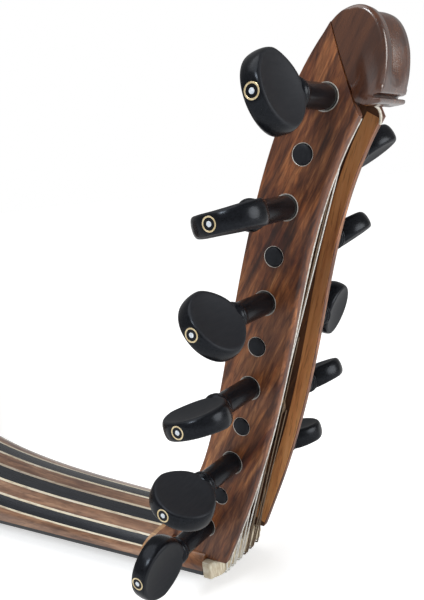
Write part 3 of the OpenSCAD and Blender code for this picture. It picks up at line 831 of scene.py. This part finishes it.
# Painted glint along the near cheek's inner arris only
make_glint_line("near_glint_line", -1, 0.42, 0.03, 0.965)
make_slot_glint()
make_finial()
make_nut()
make_pegbox_back()


# ---- Neck ----

STRIPES = 9
LINE_ANGLE = 1.6
STRIP_T = 2.2
BAND_W = 2.5
STRIP_END = -24
STRIP_SWEEP = 9
NECK_EDGE = 0.4
NECK_DEEPENS = 14.1


def neck_point(x, a, d=0.0):
    """Point of the neck's back at x from the nut and an angle across, moved inward by d."""
    s = -x / NECK_LEN
    half = NUT_HALF + (JOINT_HALF - NUT_HALF) * s - d
    if a < 0 or a > 180:
        return NUT_X + x, (-half if a < 0 else half), RIM_Z
    side = NECK_EDGE + NECK_DEEPENS * max(s, 0) ** 4
    return (NUT_X + x, -half * math.cos(math.radians(a)),
            RIM_Z + side + 0.5 * half * math.sin(math.radians(a)))


def strip_end(a):
    """Where the strips end: a joint that runs further down the neck at its edges."""
    return STRIP_END - STRIP_SWEEP * abs(math.cos(math.radians(min(max(a, 0), 180))))


def strip(angles, deep=0.0):
    rings = []
    for u in np.linspace(0, 1, 40):
        outer = [neck_point(-NECK_LEN + (strip_end(a) + NECK_LEN) * u, a, deep) for a in angles]
        inner = [neck_point(-NECK_LEN + (strip_end(a) + NECK_LEN) * u, a, STRIP_T) for a in angles[::-1]]
        rings.append(outer + inner)
    return outward(*skin(rings))


def make_strips():
    """The laminated back of the neck: walnut and black strips with cream lines between them."""
    step = 180 / STRIPES
    for k in range(STRIPES):
        low = 0 if k == 0 else k * step + LINE_ANGLE
        high = 180 if k == STRIPES - 1 else (k + 1) * step - LINE_ANGLE
        angles = [-1] * (k == 0) + list(np.linspace(low, high, 9)) + [181] * (k == STRIPES - 1)
        dark = k % 2 == 1
        whole = "neck_strips_black" if dark else "neck_strips_walnut"
        piece(f"neck_strip_{k + 1}", *strip(angles), [black_wood if dark else strip_wood],
              slot="blackwood" if dark else "walnut", replaces=[whole])
    lines = []
    for k in range(1, STRIPES):
        lines.append(strip([k * step - LINE_ANGLE, k * step, k * step + LINE_ANGLE], -0.03))
    piece("neck_line_set", *joined(lines), [maple], slot="maple_line", replaces=["neck_lines"])


def make_band():
    """Light band at the end of the strips."""
    rings = []
    for a in [-1] + list(np.linspace(0, 180, 61)) + [181]:
        x = strip_end(a)
        rings.append([neck_point(x, a, -0.02), neck_point(x + BAND_W, a, -0.02),
                      neck_point(x + BAND_W, a, STRIP_T), neck_point(x, a, STRIP_T)])
    piece("neck_band", *outward(*skin(rings)), [band_wood])


def make_foot():
    """Block under the pegbox that carries on the neck's back, cut away under the cheeks."""
    angles = [-1] + list(np.linspace(0, 180, 73)) + [181]
    rings = [[neck_point((1 - u) * (strip_end(a) + BAND_W) + u * -20.02, a) for a in angles]
             for u in np.linspace(0, 1, 8)]
    for x in (-20.0, -17.01, -16.99, -12, -8, -4, -1):
        ring_points = []
        for a in angles:
            px, py, pz = neck_point(x, a)
            beside_seat = x > -17 and abs(py) > inner_at(CHEEK_SEAT)
            seat = CHEEK_SEAT if beside_seat else BOX_SEAT
            ring_points.append((px, py, min(pz, NUT_Z + seat)))
        rings.append(ring_points)
    piece("pegbox_foot_block", *outward(*skin(rings)), [foot_wood], replaces=["pegbox_foot"], sharp=40)


def make_fingerboard():
    outline = [(JOINT_X, -JOINT_HALF), (NUT_X - 1, -NUT_HALF), (NUT_X - 1, NUT_HALF), (JOINT_X, JOINT_HALF)]
    corners = np.array(outline, float)
    loop = np.concatenate([np.linspace(corners[k], corners[(k + 1) % 4], 24)[:-1] for k in range(4)])

    def place(flat, depth, share):
        z = FACE_Z + depth if share == 0 else RIM_Z - depth
        return np.stack([flat[:, 0], flat[:, 1], z], 1)

    points, faces, zones = plate(loop, [], place, 0.4, 0.05)
    obj = piece("fingerboard_plate", points, faces, [board_wood], slot="ebony", replaces=["fingerboard"])
    flat_faces(obj, zones)


make_strips()
make_band()
make_foot()
make_fingerboard()


# ---- Body ----

RIBS = 15
RIB_T = 3.0
LINE_W = 0.9
# Shares of the tail's curve where the ribs end and the clasp over them starts
RIB_END = 13 / 14
CLASP_START = 11 / 14
BRIDGE_HALF = 56
BRIDGE_FLAT = 44


def half_outline(shift, tail_end=1.0):
    """Half of the body's outline as (x, radius), moved inward."""
    return np.concatenate([beside(SHOULDER, np.linspace(0, 1, 48), -shift),
                           beside(TAIL, np.linspace(0, tail_end, 44)[1:], -shift)])


def turned(profile, angle):
    """A profile of (x, radius) at an angle round the body's long axis, from its -Y edge."""
    x, r = profile.T
    return np.stack([x, -r * math.cos(angle), RIM_Z + r * math.sin(angle)], 1)


def make_rib(k):
    """One bent rib of the back, slightly flatter than the round of the bowl."""
    outer, inner = half_outline(0, RIB_END), half_outline(RIB_T, RIB_END)
    low, high = math.pi * k / RIBS, math.pi * (k + 1) / RIBS
    middle, half = (low + high) / 2, (high - low) / 2
    cut = [0 if edge in (0, RIBS) else LINE_W / 2 for edge in (k, k + 1)]
    rings = []
    for p_out, p_in in zip(outer, inner):
        start = low + cut[0] / p_out[1]
        end = high - cut[1] / p_out[1]
        ring_points = []
        for a in np.linspace(start, end, 7):
            flat = 1 - 0.6 * (1 - math.cos(half) / math.cos(a - middle))
            r = p_out[1] * flat
            ring_points.append((p_out[0], -r * math.cos(a), RIM_Z + r * math.sin(a)))
        for a in np.linspace(end, start, 4):
            ring_points.append((p_in[0], -p_in[1] * math.cos(a), RIM_Z + p_in[1] * math.sin(a)))
        rings.append(ring_points)
    dark = k % 2 == 1
    whole = "bowl_ribs_black" if dark else "bowl_ribs_walnut"
    piece(f"bowl_rib_{k + 1}", *outward(*skin(rings)), [black_wood if dark else rib_wood],
          slot="blackwood" if dark else "walnut", replaces=[whole])


def bowl_line(k):
    """Inlaid line in the seam below rib k."""
    a = math.pi * k / RIBS
    across = np.array([0, math.sin(a), math.cos(a)]) * LINE_W / 2
    outer, inner = half_outline(0, RIB_END), half_outline(RIB_T, RIB_END)
    corners = [turned(outer, a) + across, turned(outer, a) - across, turned(inner, a) - across,
               turned(inner, a) + across]
    return outward(*skin(np.stack(corners, 1)))


def whole_outline(shift):
    half = half_outline(shift)
    return np.concatenate([half[:-1], (half * (1, -1))[::-1]])


def board(name, outer, holes, materials, slot, node, front=0.1, back=0.05, low=FACE_Z, high=RIM_Z):
    """A flat plate on the instrument's face, between two heights."""
    def place(flat, depth, share):
        z = low + depth if share == 0 else high - depth
        return np.stack([flat[:, 0], flat[:, 1], z], 1)

    points, faces, zones = plate(outer, holes, place, front, back)
    obj = piece(name, points, faces, materials, slot=slot, replaces=[node])
    flat_faces(obj, zones)


HOLES = [(240, 0, 46), (150, -62, 20), (150, 62, 20)]


def rosette_cuts(x, y, r):
    """Round openings of a rosette: two rings of twelve and one of six."""
    cuts = []
    for count, share, size, start in ((12, 0.76, 0.14, 0), (12, 0.49, 0.1, 15), (6, 0.24, 0.09, 0)):
        for k in range(count):
            a = math.radians(360 / count * k + start)
            cuts.append(circle(x + share * r * math.cos(a), y + share * r * math.sin(a), size * r, 24))
    return cuts


def make_face():
    """Soundboard with its inlays, all flush: binding, rings, pierced rosettes and pickguard."""
    rims = [circle(x, y, r + 4, 96) for x, y, r in HOLES]
    board("soundboard_plate", whole_outline(2.5), rims, [spruce], "spruce", "soundboard")
    board("edge_binding_strip", whole_outline(0), [whole_outline(2.5)], [black_wood], "blackwood",
          "edge_binding", 0.3)
    for k, (x, y, r) in enumerate(HOLES):
        board(f"rosette_ring_{k + 1}", circle(x, y, r + 4, 96), [circle(x, y, r, 96)], [maple],
              "maple_line", "rosette_rings")
        board(f"rosette_{k + 1}", circle(x, y, r, 96), rosette_cuts(x, y, r), [rosette_wood], "maple_line",
              "rosettes", 0.25, 0.1)
    edge = bez([(190, 0), (160, 30), (110, 44), (72, 0)], np.linspace(0, 1, 48))
    loop = np.concatenate([edge, (edge * (1, -1))[::-1][1:-1]])
    board("pickguard_plate", loop, [], [rib_wood], "walnut", "pickguard", 0.3, 0.05, FACE_Z - 0.8, FACE_Z)


def make_clasp():
    """Cap over the rib ends at the tail."""
    low = bez(TAIL, np.linspace(CLASP_START, 1, 16))
    high = beside(TAIL, np.linspace(CLASP_START, 1, 16), 1.5)
    low[:, 1], high[:, 1] = np.maximum(low[:, 1], 0.05), np.maximum(high[:, 1], 0.05)
    profile = np.concatenate([low, high[::-1]])
    rings = [turned(profile, a) for a in np.linspace(0, math.pi, 73)]
    piece("end_clasp_cap", *outward(*skin(rings)), [black_wood], slot="blackwood", replaces=["end_clasp"])


def make_bridge():
    """Bridge with rounded arrises, thinner towards its ends. The strings run straight into it."""
    rings = []
    side = BRIDGE_W / 2
    for y in np.linspace(-BRIDGE_HALF, BRIDGE_HALF, 113):
        past = max(0, abs(y) - BRIDGE_FLAT) / (BRIDGE_HALF - BRIDGE_FLAT)
        low = 8 * past**1.6
        r = min(1.6, (FACE_Z - low) / 2.2)
        loop = [(-side, FACE_Z), (-side, low + r)]
        turn = np.linspace(0.2, np.pi / 2, 6)
        loop += [(-side + r - r * math.cos(a), low + r - r * math.sin(a)) for a in turn]
        loop += [(side - r + r * math.cos(a), low + r - r * math.sin(a)) for a in turn[::-1]]
        loop += [(side, low + r), (side, FACE_Z)]
        rings.append([(x, y, z) for x, z in loop])
    piece("bridge_block", *outward(*skin(rings)), [bridge_wood], replaces=["bridge"], sharp=50)


for k in range(RIBS):
    make_rib(k)
piece("bowl_line_set", *joined([bowl_line(k) for k in range(1, RIBS)]), [maple], slot="maple_line",
      replaces=["bowl_lines"])
make_face()
make_clasp()
make_bridge()

# Inner wood, which keeps its CAD shape
for node in ("soundboard_braces", "neck_block", "tail_block", "neck_core"):
    for place in frame["nodes"][node].material_slots:
        place.material = spruce


# ---- Camera, light and floor ----

# The camera's place in metres, and its turn round, up and sideways in degrees
CAMERA_AT = (0.752546, -0.217770, 0.169920)
CAMERA_TURNS = (34.782, 10.718, -6.411)
FLOOR_HALF = 6
FLOOR_Z = -0.0004


def camera():
    """The viewing place, and the turns that aim it."""
    across, above, roll = (math.radians(a) for a in CAMERA_TURNS)
    level = math.cos(above)
    back = Vector((math.sin(across) * level, -math.cos(across) * level, math.sin(above)))
    right = Vector((math.cos(across), math.sin(across), 0))
    up = back.cross(right)
    turned_right = math.cos(roll) * right + math.sin(roll) * up
    turned_up = -math.sin(roll) * right + math.cos(roll) * up
    data = bpy.data.cameras.new("camera")
    data.sensor_fit = "VERTICAL"
    data.sensor_height = 36
    data.lens = 40.374
    data.shift_x = -0.0007
    data.shift_y = 0.0071
    obj = bpy.data.objects.new("camera", data)
    axes = Matrix((turned_right, turned_up, back)).transposed().to_4x4()
    obj.matrix_world = Matrix.Translation(CAMERA_AT) @ axes
    bpy.context.scene.collection.objects.link(obj)
    bpy.context.scene.camera = obj
    return back, right


def area_light(name, place, target, size, power, colour):
    data = bpy.data.lights.new(name, "AREA")
    data.shape = "DISK"
    data.size = size
    data.energy = power
    data.color = colour
    obj = bpy.data.objects.new(name, data)
    obj.location = place
    obj.rotation_euler = (Vector(target) - Vector(place)).to_track_quat("-Z", "Y").to_euler()
    bpy.context.scene.collection.objects.link(obj)


def studio(back, right):
    """White surroundings, two soft lamps and a broad light from above."""
    head = Vector(((NUT_X + 40) * MM, 0, (NUT_Z + 100) * MM))
    key = head + 0.9 * back - 0.5 * right + Vector((0, 0, 0.75))
    fill = head + 0.8 * right + 0.35 * back + Vector((0, 0, 0.15))
    area_light("key", key, head, 0.4, 8.5, (0.93, 0.97, 1))
    area_light("fill", fill, head, 0.5, 4, (1, 0.98, 0.95))
    sun = bpy.data.lights.new("sky", "SUN")
    sun.energy = 1.1
    sun.angle = math.radians(50)
    above = bpy.data.objects.new("sky", sun)
    above.rotation_euler = (math.radians(12), math.radians(-10), 0)
    bpy.context.scene.collection.objects.link(above)
    world = bpy.data.worlds.new("surroundings")
    world.use_nodes = True
    tree = world.node_tree
    dim, bright = tree.nodes["Background"], tree.nodes.new("ShaderNodeBackground")
    dim.inputs["Strength"].default_value = 0.3
    dim.inputs["Color"].default_value = (1, 1, 1, 1)
    bright.inputs["Color"].default_value = (1, 1, 1, 1)
    seen, blend = tree.nodes.new("ShaderNodeLightPath"), tree.nodes.new("ShaderNodeMixShader")
    tree.links.new(seen.outputs["Is Camera Ray"], blend.inputs[0])
    tree.links.new(dim.outputs[0], blend.inputs[1])
    tree.links.new(bright.outputs[0], blend.inputs[2])
    tree.links.new(blend.outputs[0], tree.nodes["World Output"].inputs["Surface"])
    bpy.context.scene.world = world
    bpy.context.scene.view_settings.view_transform = "Standard"


def floor():
    mesh = bpy.data.meshes.new("floor")
    corners = [(-1, -1), (1, -1), (1, 1), (-1, 1)]
    mesh.from_pydata([(x * FLOOR_HALF, y * FLOOR_HALF, FLOOR_Z) for x, y in corners], [], [(0, 1, 2, 3)])
    material, tree, bsdf = shader("pale_floor", Roughness=0.9)
    soft = noise(tree, coordinates(tree, scale=(3, 3, 3)), 1, 3)
    tree.links.new(ramp(tree, soft, [(0.3, (0.86, 0.86, 0.86)), (0.7, (0.9, 0.9, 0.9))]),
                   bsdf.inputs["Base Color"])
    # The floor shows as bright as its surroundings, but throws no more light on the oud
    seen, lift = tree.nodes.new("ShaderNodeLightPath"), tree.nodes.new("ShaderNodeMath")
    lift.operation = "MULTIPLY"
    lift.inputs[1].default_value = 0.55
    tree.links.new(seen.outputs["Is Camera Ray"], lift.inputs[0])
    bsdf.inputs["Emission Color"].default_value = (1, 1, 1, 1)
    tree.links.new(lift.outputs[0], bsdf.inputs["Emission Strength"])
    mesh.materials.append(material)
    obj = bpy.data.objects.new("floor", mesh)
    bpy.context.scene.collection.objects.link(obj)


studio(*camera())
floor()
